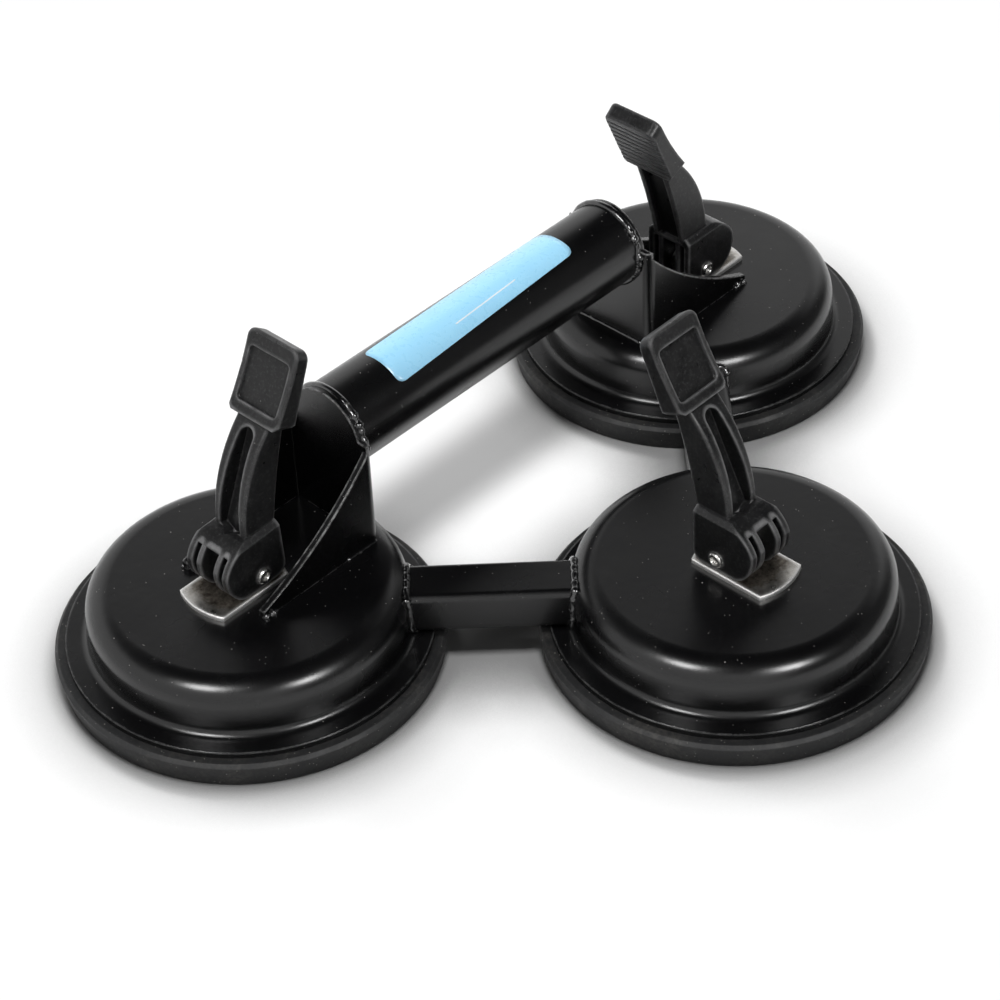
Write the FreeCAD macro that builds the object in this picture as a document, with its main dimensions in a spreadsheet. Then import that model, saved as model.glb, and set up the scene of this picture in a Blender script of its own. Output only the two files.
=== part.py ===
import FreeCAD, Part
import Sketcher
import math
import os
from FreeCAD import Placement, Rotation, Vector

# Three-cup vacuum lifter: three rubber suction pads under pressed steel shells, joined by two square
# brace bars and a tubular hand grip.  Every cup has its own moulded cam lever: folding it outwards
# rolls the cam on a wear plate and draws the stem, with its backing disc, up away from the load.
# Axes: +X along the hand grip from cup A to cup C, cup B in front at -Y, Z up.  Millimetres.

SIZES = [
    # layout
    ("cup_half_span", 102.0, "half the distance between the two grip cups"),
    ("row_offset", 53.0, "distance of either cup row from the middle"),
    # rubber pad
    ("pad_radius", 60.0, "widest radius of the rubber pad"),
    ("pad_sole_radius", 58.8, "radius of the sealing edge on the load"),
    ("pad_edge_height", 7.2, "height of the widest part of the rim"),
    ("pad_crown_radius", 59.0, "radius where the rim turns over into the top"),
    ("pad_top_height", 8.4, "height of the top of the rubber"),
    ("pad_sole_width", 8.0, "width of the flat sealing ring"),
    ("pad_hollow_depth", 1.0, "depth of the shallow hollow inside the sealing ring"),
    ("pad_hollow_slope", 1.5, "width of the slope from the sealing ring into the hollow"),
    # backing disc
    ("disc_radius", 28.0, "radius of the backing disc"),
    ("disc_thickness", 3.0, "thickness of the backing disc"),
    ("disc_seat_depth", 1.5, "depth of the disc's seat in the rubber"),
    ("disc_side_gap", 0.4, "gap round the disc in its seat"),
    # steel shell
    ("shell_sheet", 2.1, "thickness of the pressed shell"),
    ("shell_flange_radius", 56.5, "radius of the flange over the rubber"),
    ("shell_wall_radius", 49.2, "outer radius of the wall"),
    ("shell_top_height", 28.4, "height of the flat top above the load"),
    ("shell_shoulder_radius", 7.7, "outer radius of the rounded shoulder"),
    ("shell_foot_radius", 2.6, "radius between wall and flange"),
    ("stem_hole_gap", 0.5, "gap round the stem in the shell and the wear plate"),
    # wear plate
    ("plate_half_width", 9.6, "half width along the hinge pin"),
    ("plate_outer_reach", 17.7, "distance of the outer corners from the stem's axis"),
    ("plate_inner_reach", 8.8, "distance of the inner corners from the stem's axis"),
    ("plate_end_bulge", 2.2, "how far the curved ends stand out past the corners"),
    ("plate_thickness", 1.6, "thickness of the wear plate"),
    # stem and pin
    ("stem_radius", 5.0, "radius of the stem"),
    ("blade_thickness", 5.0, "thickness of the flattened eye"),
    ("blade_side_gap", 0.3, "gap between the eye and the ribs on either side"),
    ("blade_margin", 0.6, "how far the eye's flats run below the wear plate at full lift"),
    ("pin_radius", 2.5, "radius of the hinge pin"),
    ("pin_running_gap", 0.05, "radial clearance of the pin in the eye"),
    ("pin_stand_out", 1.0, "how far the pin ends stand out of the ears"),
    ("pin_dimple_radius", 1.2, "radius of the hollow in each pin end"),
    ("pin_dimple_depth", 0.8, "depth of the hollow in each pin end"),
    ("pin_dimple_flare", 0.3, "flare at the mouth of that hollow"),
    ("pin_edge", 0.4, "chamfer of the pin ends"),
    # cam
    ("heel_height", 4.2, "height of the pin above the wear plate when released"),
    ("cam_base_radius", 6.2, "lift per radian of lever travel"),
    ("cam_gap", 0.15, "gap between cam and wear plate"),
    ("fold_angle", 95.0, "travel of the lever in degrees"),
    ("rest_fold_a", 3.0, "how far lever A stands off its heel in degrees"),
    ("rest_fold_b", 0.0, "how far lever B stands off its heel in degrees"),
    ("rest_fold_c", 0.0, "how far lever C stands off its heel in degrees"),
    # lever base
    ("ear_half_width", 8.8, "half the width over the four ribs"),
    ("outer_rib", 2.3, "thickness of each outer rib"),
    ("inner_rib", 1.7, "thickness of each inner rib"),
    ("rib_gap_height", 12.5, "top of the gaps between the ribs, above the pin"),
    ("ear_back", 9.0, "depth of the ribs behind the pin"),
    ("ear_top_height", 15.5, "top of the rib block above the pin"),
    ("ear_brow_reach", 4.6, "reach of the rib block at its top"),
    ("ear_nose_radius", 13.0, "rounding of the rib block from its top down to the cam"),
    ("ear_step_chamfer", 1.5, "chamfer from the rib block up to the arm"),
    ("heel_corner_radius", 4.0, "radius of the back corner of the heel"),
    # lever arm
    ("arm_half_width", 6.5, "half width of the arm"),
    ("arm_foot_out", 2.8, "outer face of the arm at its foot"),
    ("arm_foot_in", 9.3, "inner face of the arm at its foot"),
    ("arm_foot_sink", 2.0, "how far the arm runs down into the rib block"),
    ("arm_neck_out", 11.6, "how far the outer face leans in at the neck"),
    ("arm_neck_in", 18.6, "how far the inner face leans in at the neck"),
    ("arm_neck_height", 47.2, "height of the neck above the pin"),
    ("arm_neck_skew", 1.0, "how much lower the neck's inner corner is"),
    ("arm_out_radius", 48.0, "curvature of the outer face"),
    ("arm_in_radius", 220.0, "curvature of the inner face"),
    ("arm_edge_radius", 0.8, "edge rounding of the arm"),
    ("slot_top_half_width", 2.9, "half width of the long front slot at its top"),
    ("slot_foot_half_width", 4.4, "half width of the front slot at its foot"),
    ("slot_floor_depth", 2.1, "depth of the slot's floor below the arm's foot"),
    ("slot_low", 14.2, "pointed lower end of the front slot above the pin"),
    ("slot_point", 1.6, "height of that point"),
    ("slot_high", 46.2, "upper end of the front slot above the pin"),
    ("channel_wall", 1.6, "wall either side of the rear channel"),
    ("channel_depth", 2.3, "depth of the rear channel"),
    ("channel_high", 44.0, "upper end of the rear channel above the pin"),
    # lever head
    ("head_half_width", 10.4, "half width of the paddle"),
    ("head_root_in", 19.3, "inner root corner, inwards of the pin"),
    ("head_root_height", 45.2, "inner root corner above the pin"),
    ("head_tilt", 23.6, "lean of the ribbed face in degrees"),
    ("head_length", 24.4, "length of the ribbed face"),
    ("head_root_thickness", 8.2, "thickness of the paddle at the neck"),
    ("head_tip_thickness", 5.3, "thickness of the paddle at its tip"),
    ("head_bevel", 1.5, "rise of the bevelled end"),
    ("head_face_radius", 115.0, "hollow of the paddle's outer face"),
    ("head_corner_radius", 3.0, "corner radius of the paddle's tip"),
    ("head_corner_cut", 1.6, "cut of the paddle's root corners"),
    ("head_edge_radius", 0.8, "edge rounding of the paddle"),
    ("rib_pitch", 2.4, "pitch of the grip ribs"),
    ("rib_start", 1.8, "distance of the first groove from the paddle's root"),
    ("rib_depth", 0.45, "depth of the grooves between the ribs"),
    ("rib_groove", 0.9, "width of each groove"),
    ("rib_count", 9, "number of grooves"),
    ("panel_side_border", 2.1, "border at the sides of the sunk panel"),
    ("panel_root_border", 3.6, "border at the panel's root end"),
    ("panel_tip_border", 5.4, "border at the panel's tip end"),
    ("panel_depth", 1.6, "depth of the sunk panel below the face's ends"),
    ("panel_corner_radius", 1.4, "corner radius of the sunk panel"),
    # hand grip and brackets
    ("tube_radius", 14.0, "outer radius of the hand grip"),
    ("tube_wall", 2.0, "wall of the hand grip"),
    ("tube_height", 62.5, "height of the grip's axis above the load"),
    ("web_offset", 39.5, "outer face of the bracket web from the cup's axis"),
    ("bracket_sheet", 2.2, "thickness of the bracket sheet"),
    ("bracket_half_width", 18.0, "half width over the bracket's flanges"),
    ("web_arch_margin", 0.3, "how far the web's arch stands out round the grip"),
    ("web_arch_start", 10.0, "angle of the web's shoulders above the grip's axis in degrees"),
    ("bracket_bend_radius", 2.8, "outside bend radius of the bracket"),
    ("flange_tip_reach", 9.0, "reach of the flanges past the cup's axis"),
    ("flange_tip_height", 2.6, "height of the flange tips"),
    ("flange_curve_radius", 120.0, "radius of the flanges' hollow top edge"),
    # brace bars
    ("bar_width", 16.0, "width of the brace bars"),
    ("bar_depth", 14.0, "height of the brace bars"),
    ("bar_low", 10.7, "underside of the brace bars above the load"),
    ("bar_wall", 1.6, "wall of the brace bars"),
    ("bar_corner_radius", 2.0, "corner radius of the brace bars"),
    # weld beads
    ("grip_weld_leg", 2.0, "leg of the grip's weld beads along the tube"),
    ("grip_weld_rise", 1.2, "leg of the grip's weld beads up the web"),
    ("bar_weld_leg", 1.8, "leg of the bars' weld beads along the bar"),
    ("bar_weld_rise", 1.5, "leg of the bars' weld beads round the bar"),
    ("bar_weld_bevel", 1.3, "bevel of the bars' weld beads"),
]

doc = FreeCAD.newDocument("VacuumLifter")
sheet = doc.addObject("Spreadsheet::Sheet", "Sizes")
for row, (name, number, note) in enumerate(SIZES, start=1):
    sheet.set("A%d" % row, name)
    sheet.set("B%d" % row, repr(number))
    sheet.set("C%d" % row, note)
    sheet.setAlias("B%d" % row, name)
doc.recompute()


class Size:
    """A length with its number and the spreadsheet expression it comes from."""

    def __init__(self, number, text):
        self.number, self.text = float(number), text

    def __add__(self, other):
        other = size(other)
        return Size(self.number + other.number, "(%s + %s)" % (self.text, other.text))

    def __sub__(self, other):
        other = size(other)
        return Size(self.number - other.number, "(%s - %s)" % (self.text, other.text))

    def __mul__(self, other):
        other = size(other)
        return Size(self.number * other.number, "(%s * %s)" % (self.text, other.text))

    def __truediv__(self, other):
        other = size(other)
        return Size(self.number / other.number, "(%s / %s)" % (self.text, other.text))

    def __neg__(self):
        return Size(-self.number, "(-1 * %s)" % self.text)

    def __radd__(self, other):
        return size(other) + self

    def __rsub__(self, other):
        return size(other) - self

    def __rmul__(self, other):
        return size(other) * self


def size(value):
    return value if isinstance(value, Size) else Size(value, "(%.9f)" % value)


class Sizes:
    """The spreadsheet's values by name."""

    def __init__(self, rows):
        for name, number, _note in rows:
            setattr(self, name, Size(number, "Sizes." + name))


S = Sizes(SIZES)
ZERO = size(0.0)
TINY, NEAR = 0.01, 1.0  # how closely an edge's middle is matched when edges are picked


def sin_of(angle):
    return Size(math.sin(math.radians(angle.number)), "sin(%s * 1 deg)" % angle.text)


def cos_of(angle):
    return Size(math.cos(math.radians(angle.number)), "cos(%s * 1 deg)" % angle.text)


def lean_of(low, high):
    """Angle in degrees by which the line from low to high leans inwards."""
    inwards, rise = size(low[0] - high[0]), size(high[1] - low[1])
    return Size(math.degrees(math.atan2(inwards.number, rise.number)),
                "(atan2(%s; %s) / 1 deg)" % (inwards.text, rise.text))


def distance_of(low, high):
    across, rise = size(low[0] - high[0]), size(high[1] - low[1])
    return Size(math.hypot(across.number, rise.number),
                "sqrt(%s * %s + %s * %s)" % (across.text, across.text, rise.text, rise.text))


# ---------------------------------------------------------------- sketch helpers

def new_body(label):
    body = doc.addObject("PartDesign::Body", label)
    body.Label = label
    return body


def new_sketch(body, name, plane, offset=None):
    sketch = body.newObject("Sketcher::SketchObject", name)
    for feature in body.Origin.OriginFeatures:
        if feature.Role == plane:
            sketch.AttachmentSupport = [(feature, "")]
    sketch.MapMode = "FlatFace"
    if offset is not None:
        sketch.AttachmentOffset = offset
    return sketch


def leaning_sketch(body, name, out, up, lean):
    """Sketch across the lever through the point (out, up), its upper part leaning inwards by an angle."""
    out, up, lean = size(out), size(up), size(lean)
    sketch = new_sketch(body, name, "YZ_Plane", Placement(
        Vector(0, up.number, out.number), Rotation(Vector(1, 0, 0), -lean.number)))
    sketch.setExpression("AttachmentOffset.Base.y", up.text)
    sketch.setExpression("AttachmentOffset.Base.z", out.text)
    sketch.setExpression("AttachmentOffset.Rotation.Angle", "-1 * %s * 1 deg" % lean.text)
    return sketch


def hold(sketch, kind, *args):
    """Adds a driving constraint bound to the spreadsheet; the last argument is its Size."""
    value = args[-1]
    number = sketch.addConstraint(Sketcher.Constraint(kind, *args[:-1], value.number))
    sketch.setExpression("Constraints[%d]" % number, value.text)


def outline(sketch, start, steps):
    """Closed outline of lines and arcs.  A step is (x, y) for a line, or (x, y, radius) for an arc
    that turns left when its radius is positive and right when it is negative."""
    points = [start] + [step[:2] for step in steps]
    first = sketch.GeometryCount
    ends = []
    for index, step in enumerate(steps):
        x0, y0 = (size(v).number for v in points[index])
        x1, y1 = (size(v).number for v in points[index + 1])
        if len(step) == 2:
            edge = sketch.addGeometry(Part.LineSegment(Vector(x0, y0, 0), Vector(x1, y1, 0)), False)
            ends.append((edge, 1, 2))
            continue
        radius = size(step[2])
        chord = math.hypot(x1 - x0, y1 - y0)
        rise = math.sqrt(max(radius.number ** 2 - chord ** 2 / 4, 0.0))
        side = 1 if radius.number > 0 else -1
        cx = (x0 + x1) / 2 - side * rise * (y1 - y0) / chord
        cy = (y0 + y1) / 2 + side * rise * (x1 - x0) / chord
        start_angle, end_angle = math.atan2(y0 - cy, x0 - cx), math.atan2(y1 - cy, x1 - cx)
        if side < 0:
            start_angle, end_angle = end_angle, start_angle
        circle = Part.Circle(Vector(cx, cy, 0), Vector(0, 0, 1), abs(radius.number))
        edge = sketch.addGeometry(Part.ArcOfCircle(circle, start_angle, end_angle), False)
        hold(sketch, "Radius", edge, radius if side > 0 else -radius)
        ends.append((edge, 1, 2) if side > 0 else (edge, 2, 1))
    for index, (edge, head, _tail) in enumerate(ends):
        before = ends[index - 1]
        sketch.addConstraint(Sketcher.Constraint("Coincident", before[0], before[2], edge, head))
        hold(sketch, "DistanceX", edge, head, size(points[index][0]))
        hold(sketch, "DistanceY", edge, head, size(points[index][1]))
    return first


def box_outline(sketch, x0, y0, x1, y1, radius=None):
    """Rectangle from corner to corner, with rounded corners where a radius is given."""
    x0, y0, x1, y1 = (size(v) for v in (x0, y0, x1, y1))
    if radius is None:
        return outline(sketch, (x0, y0), [(x1, y0), (x1, y1), (x0, y1), (x0, y0)])
    r = size(radius)
    return outline(sketch, (x0 + r, y0), [
        (x1 - r, y0), (x1, y0 + r, r), (x1, y1 - r), (x1 - r, y1, r),
        (x0 + r, y1), (x0, y1 - r, r), (x0, y0 + r), (x0 + r, y0, r)])


def disc_outline(sketch, radius, x=ZERO, y=ZERO):
    centre = Vector(size(x).number, size(y).number, 0)
    circle = sketch.addGeometry(Part.Circle(centre, Vector(0, 0, 1), radius.number), False)
    hold(sketch, "Radius", circle, radius)
    hold(sketch, "DistanceX", circle, 3, size(x))
    hold(sketch, "DistanceY", circle, 3, size(y))


def feature(body, kind, name, sketch, **values):
    """Adds a sketch-based feature; Size values are bound to the spreadsheet."""
    made = body.newObject("PartDesign::" + kind, name)
    made.Profile = sketch
    for key, value in values.items():
        if isinstance(value, Size):
            setattr(made, key, value.number)
            made.setExpression(key, value.text)
        else:
            setattr(made, key, value)
    sketch.Visibility = False
    body.Tip = made
    return made


def revolve(body, name, sketch, kind="Revolution"):
    return feature(body, kind, name, sketch, ReferenceAxis=(sketch, ["V_Axis"]), Angle=360.0)


def edges_where(shape, test):
    """Names of the edges whose middle passes the test."""
    names = []
    for number, edge in enumerate(shape.Edges, start=1):
        middle = edge.valueAt((edge.FirstParameter + edge.LastParameter) / 2)
        if test(middle, edge):
            names.append("Edge%d" % number)
    return names


def dress(body, kind, name, test, amount):
    """Fillet or chamfer on the edges of the body's present tip that pass the test."""
    doc.recompute()
    base = body.Tip
    names = edges_where(base.Shape, test)
    made = body.newObject("PartDesign::" + kind, name)
    made.Base = (base, names)
    key = "Radius" if kind == "Fillet" else "Size"
    setattr(made, key, amount.number)
    made.setExpression(key, amount.text)
    body.Tip = made
    return made


def runs_along_y(edge):
    tangent = edge.tangentAt((edge.FirstParameter + edge.LastParameter) / 2)
    return abs(tangent.y) > 0.99


# ---------------------------------------------------------------- shared heights and angles

disc_top = S.pad_top_height - S.disc_seat_depth + S.disc_thickness
plate_top = S.shell_top_height + S.plate_thickness
pin_height = plate_top + S.heel_height
shell_inner = S.shell_top_height - S.shell_sheet
cam_heel = S.heel_height - S.cam_gap
blade_gap_half = S.blade_thickness / 2 + S.blade_side_gap
stem_hole = S.stem_radius + S.stem_hole_gap
full_lift = S.cam_base_radius * S.fold_angle * (math.pi / 180)


def cam_point(angle):
    """Point of the cam that meets the wear plate when the lever is folded by this angle (degrees).
    The profile is an involute, so the pin rises in proportion to the angle."""
    turn = math.radians(angle)
    along = S.cam_base_radius * (math.cos(turn) + turn * math.sin(turn)) + cam_heel * math.sin(turn)
    up = S.cam_base_radius * (math.sin(turn) - turn * math.cos(turn)) - cam_heel * math.cos(turn)
    return along, up


# ---------------------------------------------------------------- one cup's fixed pieces

def make_pad(label):
    body = new_body(label)
    section = new_sketch(body, label + "_section", "XZ_Plane")
    seat = S.pad_top_height - S.disc_seat_depth
    seat_radius = S.disc_radius + S.disc_side_gap
    sole = S.pad_sole_radius - S.pad_sole_width
    outline(section, (ZERO, S.pad_hollow_depth), [
        (sole - S.pad_hollow_slope, S.pad_hollow_depth), (sole, ZERO), (S.pad_sole_radius, ZERO),
        (S.pad_radius, S.pad_edge_height), (S.pad_crown_radius, S.pad_top_height),
        (seat_radius, S.pad_top_height), (seat_radius, seat), (ZERO, seat), (ZERO, S.pad_hollow_depth)])
    revolve(body, label + "_rubber", section)
    return body


def make_disc(label):
    body = new_body(label)
    section = new_sketch(body, label + "_section", "XZ_Plane")
    low = S.pad_top_height - S.disc_seat_depth
    outline(section, (ZERO, low), [
        (S.disc_radius, low), (S.disc_radius, disc_top), (ZERO, disc_top), (ZERO, low)])
    revolve(body, label + "_disc", section)
    return body


def shell_outline(sketch, inside):
    """Half section of the shell, or of the space inside its outer skin when inside is true."""
    foot, low = S.shell_foot_radius, S.pad_top_height
    wall, flange = S.shell_wall_radius, S.shell_flange_radius
    top, shoulder, sheet_t = S.shell_top_height, S.shell_shoulder_radius, S.shell_sheet
    outer = [
        (flange, low + sheet_t), (wall + foot, low + sheet_t), (wall, low + sheet_t + foot, -foot),
        (wall, top - shoulder), (wall - shoulder, top, shoulder)]
    if inside:
        outline(sketch, (ZERO, ZERO), [(flange, ZERO)] + outer + [(ZERO, top), (ZERO, ZERO)])
        return
    inner_wall, slope = wall - sheet_t, (shoulder - sheet_t) * cos_of(size(45))
    outline(sketch, (flange, low), outer + [
        (stem_hole, top), (stem_hole, shell_inner), (wall - shoulder, shell_inner),
        (wall - shoulder + slope, top - shoulder + slope), (inner_wall, top - shoulder),
        (inner_wall, low), (flange, low)])


def make_shell(label):
    body = new_body(label)
    section = new_sketch(body, label + "_section", "XZ_Plane")
    shell_outline(section, False)
    revolve(body, label + "_pressing", section)
    return body


def make_wear_plate(label):
    body = new_body(label)
    plan = new_sketch(body, label + "_plan", "XY_Plane")
    half, bulge = S.plate_half_width, S.plate_end_bulge
    inner, outer = S.plate_inner_reach, S.plate_outer_reach
    end_radius = (half * half + bulge * bulge) / (2 * bulge)
    outline(plan, (-inner, -half), [
        (outer, -half), (outer, half, end_radius), (-inner, half), (-inner, -half, end_radius)])
    disc_outline(plan, stem_hole)
    plan.AttachmentOffset = Placement(Vector(0, 0, S.shell_top_height.number), Rotation())
    plan.setExpression("AttachmentOffset.Base.z", S.shell_top_height.text)
    feature(body, "Pad", label + "_sheet", plan, Length=S.plate_thickness)
    return body


def make_stem(label):
    """Round stem with a flattened eye; local origin on the load, at the cup's axis."""
    body = new_body(label)
    section = new_sketch(body, label + "_section", "XZ_Plane")
    flat_low = plate_top - full_lift - S.blade_margin
    outline(section, (ZERO, disc_top), [
        (S.stem_radius, disc_top), (S.stem_radius, pin_height), (ZERO, pin_height), (ZERO, disc_top)])
    revolve(body, label + "_shank", section)
    eye = new_sketch(body, label + "_eye_plan", "XZ_Plane")
    disc_outline(eye, S.stem_radius, ZERO, pin_height)
    feature(body, "Pad", label + "_eye", eye, Length=2 * S.stem_radius, Midplane=True)
    for side in (1, -1):
        cheek = new_sketch(body, label + "_flat_plan_%d" % (side + 1), "XZ_Plane")
        box_outline(cheek, -2 * S.stem_radius, flat_low, 2 * S.stem_radius, pin_height + 2 * S.stem_radius)
        cheek.AttachmentOffset = Placement(Vector(0, 0, side * S.blade_thickness.number / 2), Rotation())
        cheek.setExpression("AttachmentOffset.Base.z", (S.blade_thickness / (2 * side)).text)
        feature(body, "Pocket", label + "_flat_%d" % (side + 1), cheek, Length=2 * S.stem_radius,
                Reversed=(side == 1))
    hole = new_sketch(body, label + "_bore_plan", "XZ_Plane")
    disc_outline(hole, S.pin_radius + S.pin_running_gap, ZERO, pin_height)
    feature(body, "Pocket", label + "_bore", hole, Length=4 * S.stem_radius, Midplane=True)
    return body


# ---------------------------------------------------------------- hinge pin and cam lever

def make_pin(label):
    """Local origin at the middle of the pin, axis along Y."""
    body = new_body(label)
    section = new_sketch(body, label + "_section", "XY_Plane")
    half = S.ear_half_width + S.pin_stand_out
    edge, dimple = S.pin_edge, S.pin_dimple_radius
    mouth = dimple + S.pin_dimple_flare
    outline(section, (ZERO, S.pin_dimple_depth - half), [
        (dimple, S.pin_dimple_depth - half), (mouth, -half), (S.pin_radius - edge, -half),
        (S.pin_radius, edge - half), (S.pin_radius, half - edge), (S.pin_radius - edge, half),
        (mouth, half), (dimple, half - S.pin_dimple_depth), (ZERO, half - S.pin_dimple_depth),
        (ZERO, S.pin_dimple_depth - half)])
    revolve(body, label + "_shank", section)
    return body


def head_corners():
    """Side view of the paddle: inner root, inner tip, bevelled outer tip and outer root."""
    lean_in, lean_up = -sin_of(S.head_tilt), cos_of(S.head_tilt)
    root = (-S.head_root_in, S.head_root_height)
    tip = (root[0] + S.head_length * lean_in, root[1] + S.head_length * lean_up)
    out_tip = (tip[0] + S.head_tip_thickness * lean_up + S.head_bevel * lean_in,
               tip[1] - S.head_tip_thickness * lean_in + S.head_bevel * lean_up)
    out_root = (root[0] + S.head_root_thickness * lean_up, root[1] - S.head_root_thickness * lean_in)
    return root, tip, out_tip, out_root


def make_lever(label):
    """Local origin at the hinge pin's middle, pin along Y, +X outwards, standing as released."""
    body = new_body(label)
    foot = S.ear_top_height - S.arm_foot_sink
    foot_out, foot_in = (S.arm_foot_out, foot), (-S.arm_foot_in, foot)
    neck_out = (-S.arm_neck_out, S.arm_neck_height)
    neck_in = (-S.arm_neck_in, S.arm_neck_height - S.arm_neck_skew)

    # arm: two curved faces between the rib block and the middle of the paddle
    root, tip, out_tip, out_root = head_corners()
    tenon = ((root[0] + out_tip[0]) / 2, (root[1] + out_tip[1]) / 2)
    arm = new_sketch(body, label + "_arm_side", "XZ_Plane")
    outline(arm, foot_in, [foot_out, neck_out + (S.arm_out_radius,), tenon, neck_in,
                           foot_in + (-S.arm_in_radius,)])
    feature(body, "Pad", label + "_arm", arm, Length=2 * S.arm_half_width, Midplane=True)
    dress(body, "Fillet", label + "_arm_edges",
          lambda at, edge: abs(abs(at.y) - S.arm_half_width.number) < TINY
          and foot.number < at.z < S.head_root_height.number, S.arm_edge_radius)

    # paddle: wedge with a hollow outer face, rounded tip corners and cut root corners
    head = new_sketch(body, label + "_head_side", "XZ_Plane")
    outline(head, root, [out_root, out_tip + (-S.head_face_radius,), tip, root])
    feature(body, "Pad", label + "_head", head, Length=2 * S.head_half_width, Midplane=True)
    for kind, name, ends, amount in (("Fillet", "_tip_corners", (tip, out_tip), S.head_corner_radius),
                                     ("Chamfer", "_root_corners", (root, out_root), S.head_corner_cut)):
        middle = [(ends[0][axis] + ends[1][axis]).number / 2 for axis in (0, 1)]
        dress(body, kind, label + name,
              lambda at, edge: abs(abs(at.y) - S.head_half_width.number) < TINY
              and math.hypot(at.x - middle[0], at.z - middle[1]) < NEAR, amount)
    dress(body, "Fillet", label + "_rim",
          lambda at, edge: abs(abs(at.y) - S.head_half_width.number) < TINY
          and out_root[1].number < at.z < tip[1].number, S.head_edge_radius)

    # rib block with the involute cam
    block = new_sketch(body, label + "_cam_side", "XZ_Plane")
    turns = 6
    last = S.fold_angle.number
    cam = [cam_point(last * (turns - number) / turns) for number in range(turns + 1)]
    middle = [math.radians(last * (turns - number - 0.5) / turns) for number in range(turns)]
    steps = [(S.ear_brow_reach, S.ear_top_height), cam[0] + (-S.ear_nose_radius,)]
    for number in range(turns):
        steps.append(cam[number + 1] + (-(cam_heel + S.cam_base_radius * middle[number]),))
    corner = S.heel_corner_radius
    steps += [(corner - S.ear_back, -cam_heel), (-S.ear_back, corner - cam_heel, -corner),
              (-S.ear_back, S.ear_top_height)]
    outline(block, (-S.ear_back, S.ear_top_height), steps)
    feature(body, "Pad", label + "_cam_block", block, Length=2 * S.ear_half_width, Midplane=True)
    dress(body, "Chamfer", label + "_step",
          lambda at, edge: abs(abs(at.y) - S.ear_half_width.number) < TINY
          and abs(at.z - S.ear_top_height.number) < TINY, S.ear_step_chamfer)

    # gaps between the four ribs
    gaps = new_sketch(body, label + "_gap_plan", "XY_Plane")
    side_out = S.ear_half_width - S.outer_rib
    side_in = blade_gap_half + S.inner_rib
    reach = cam[0][0] * 2
    box_outline(gaps, -reach, -blade_gap_half, reach, blade_gap_half)
    box_outline(gaps, -reach, side_in, reach, side_out)
    box_outline(gaps, -reach, -side_out, reach, -side_in)
    gaps.AttachmentOffset = Placement(Vector(0, 0, S.rib_gap_height.number), Rotation())
    gaps.setExpression("AttachmentOffset.Base.z", S.rib_gap_height.text)
    feature(body, "Pocket", label + "_gaps", gaps, Length=S.rib_gap_height + 3 * S.heel_height)

    # hole for the hinge pin
    hole = new_sketch(body, label + "_pin_plan", "XZ_Plane")
    disc_outline(hole, S.pin_radius)
    feature(body, "Pocket", label + "_pin_hole", hole, Length=4 * S.ear_half_width, Midplane=True)

    # long tapering slot down the outer face, with a round top and a pointed foot
    lean = lean_of(foot_out, neck_out)
    slot = leaning_sketch(body, label + "_slot_plan", foot_out[0] - S.slot_floor_depth * cos_of(lean),
                          foot_out[1] - S.slot_floor_depth * sin_of(lean), lean)
    low = (S.slot_low - foot) / cos_of(lean)
    high = (S.slot_high - foot) / cos_of(lean)
    wide, narrow = S.slot_foot_half_width, S.slot_top_half_width
    outline(slot, (ZERO, low), [
        (wide, low + S.slot_point), (narrow, high - narrow), (ZERO, high, narrow),
        (-narrow, high - narrow, narrow), (-wide, low + S.slot_point), (ZERO, low)])
    feature(body, "Pocket", label + "_slot", slot, Length=reach, Reversed=True)

    # channel up the inner face, following the arm's curve
    channel = new_sketch(body, label + "_channel_side", "XZ_Plane")
    fall = (S.arm_neck_height - S.arm_neck_skew - S.channel_high) * sin_of(lean) / cos_of(lean)
    outline(channel, (-2 * S.arm_foot_in - S.channel_depth, foot), [
        (S.channel_depth - S.arm_foot_in, foot),
        (S.channel_depth - S.arm_neck_in + fall, S.channel_high, S.arm_in_radius),
        (-2 * S.arm_neck_in, S.channel_high), (-2 * S.arm_foot_in - S.channel_depth, foot)])
    feature(body, "Pocket", label + "_channel", channel,
            Length=2 * (S.arm_half_width - S.channel_wall), Midplane=True)

    # grip ribs across the inner face of the paddle
    ribs = leaning_sketch(body, label + "_rib_plan", root[0], root[1], S.head_tilt)
    over = S.head_half_width + S.head_edge_radius
    box_outline(ribs, -over, S.rib_start, over, S.rib_start + S.rib_groove)
    cut = feature(body, "Pocket", label + "_groove", ribs, Length=S.rib_depth, Reversed=True)
    pattern = body.newObject("PartDesign::LinearPattern", label + "_grooves")
    pattern.Originals = [cut]
    pattern.Direction = (ribs, ["V_Axis"])
    count = int(S.rib_count.number)
    pattern.Length = (S.rib_pitch * (count - 1)).number
    pattern.setExpression("Length", "Sizes.rib_pitch * (Sizes.rib_count - 1)")
    pattern.Occurrences = count
    pattern.setExpression("Occurrences", "Sizes.rib_count")
    body.Tip = pattern

    # sunk panel in the outer face of the paddle
    panel = leaning_sketch(body, label + "_panel_plan", out_root[0], out_root[1], lean_of(out_root, out_tip))
    side = S.head_half_width - S.panel_side_border
    box_outline(panel, -side, S.panel_root_border, side,
                distance_of(out_root, out_tip) - S.panel_tip_border, S.panel_corner_radius)
    feature(body, "Pocket", label + "_panel", panel, Length=S.panel_depth)
    return body


# ---------------------------------------------------------------- grip, brackets and bars

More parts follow.
